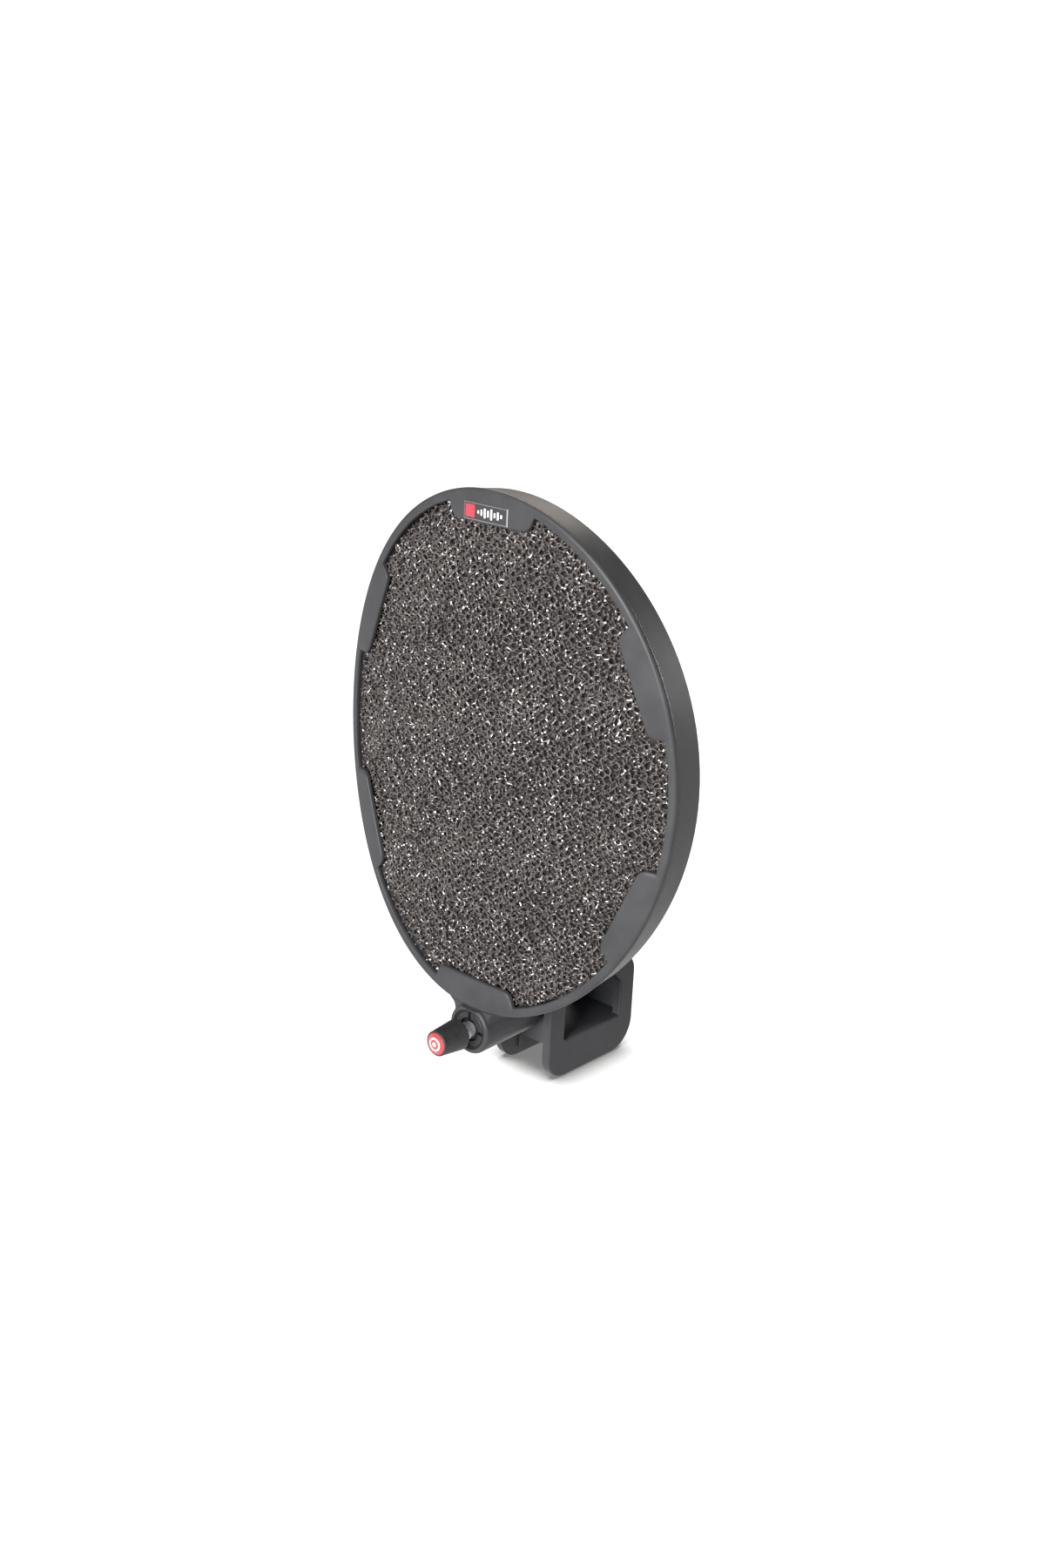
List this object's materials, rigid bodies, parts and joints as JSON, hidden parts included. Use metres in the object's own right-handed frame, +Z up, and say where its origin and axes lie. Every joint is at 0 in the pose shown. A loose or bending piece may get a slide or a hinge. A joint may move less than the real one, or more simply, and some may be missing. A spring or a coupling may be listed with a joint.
{
  "type": "pop filter",
  "caption": "Oval open-cell foam pop filter on a swivelling barrel with a thumb-screw collet lock and a windowed channel clip.",
  "frame": {"origin": "middle of the clip's bar seat, the flat underside of the floor between the two legs", "axes": "+Z up along the head's long side, the foam faces -Y, +X to the right seen from the front"},
  "size_m": [0.1548, 0.0966, 0.2259],
  "materials": {
    "moulding": "satin",
    "collet_plastic": "satin",
    "nut_brass": "satin",
    "pad_rubber": "matte",
    "liner_plastic": "matte",
    "foam": "matte",
    "badge_trim": "satin",
    "badge_black": "gloss",
    "badge_red": "gloss",
    "badge_white": "gloss",
    "washer_steel": "satin",
    "screw_chrome": "polished",
    "core_plastic": "satin",
    "grip_rubber": "matte",
    "cap_red": "gloss",
    "cap_white": "gloss"
  },
  "bodies": {
    "clip": {"clip_frame": "moulding", "split_spigot": "collet_plastic", "captive_nut": "nut_brass", "nut_retainer": "collet_plastic", "grip_pad_left": "pad_rubber", "grip_pad_right": "pad_rubber"},
    "liner": {"barrel_liner": "liner_plastic"},
    "head": {"bezel": "moulding", "rear_frame": "moulding", "foam_disc": "foam", "badge_border": "badge_trim", "badge_plate": "badge_black", "badge_square": "badge_red", "badge_bars": "badge_white"},
    "washer": {"cone_washer": "washer_steel"},
    "knob": {"thumb_screw": "screw_chrome", "knob_core": "core_plastic", "knob_grip": "grip_rubber", "knob_cap": "cap_red", "cap_emblem": "cap_white"}
  },
  "joints": [
    {"name": "head_slide", "type": "slide", "parent": "clip", "child": "liner", "axis": [0, 1, 0], "range_m": [-0.012, 0.0045]},
    {"name": "head_swivel", "type": "hinge", "parent": "liner", "child": "head", "pos_m": [0, -0.042, 0.0158], "axis": [0, 1, 0], "continuous": true},
    {"name": "screw_travel", "type": "slide", "parent": "clip", "child": "washer", "axis": [0, 1, 0], "range_m": [-0.0024, 0]},
    {"name": "knob_turn", "type": "hinge", "parent": "washer", "child": "knob", "pos_m": [0, -0.068, 0.0158], "axis": [0, 1, 0], "range_deg": [-1082, 0]}
  ],
  "couplings": [
    {"joint": "knob_turn", "follows": "screw_travel", "rad_per_m": 7854}
  ]
}
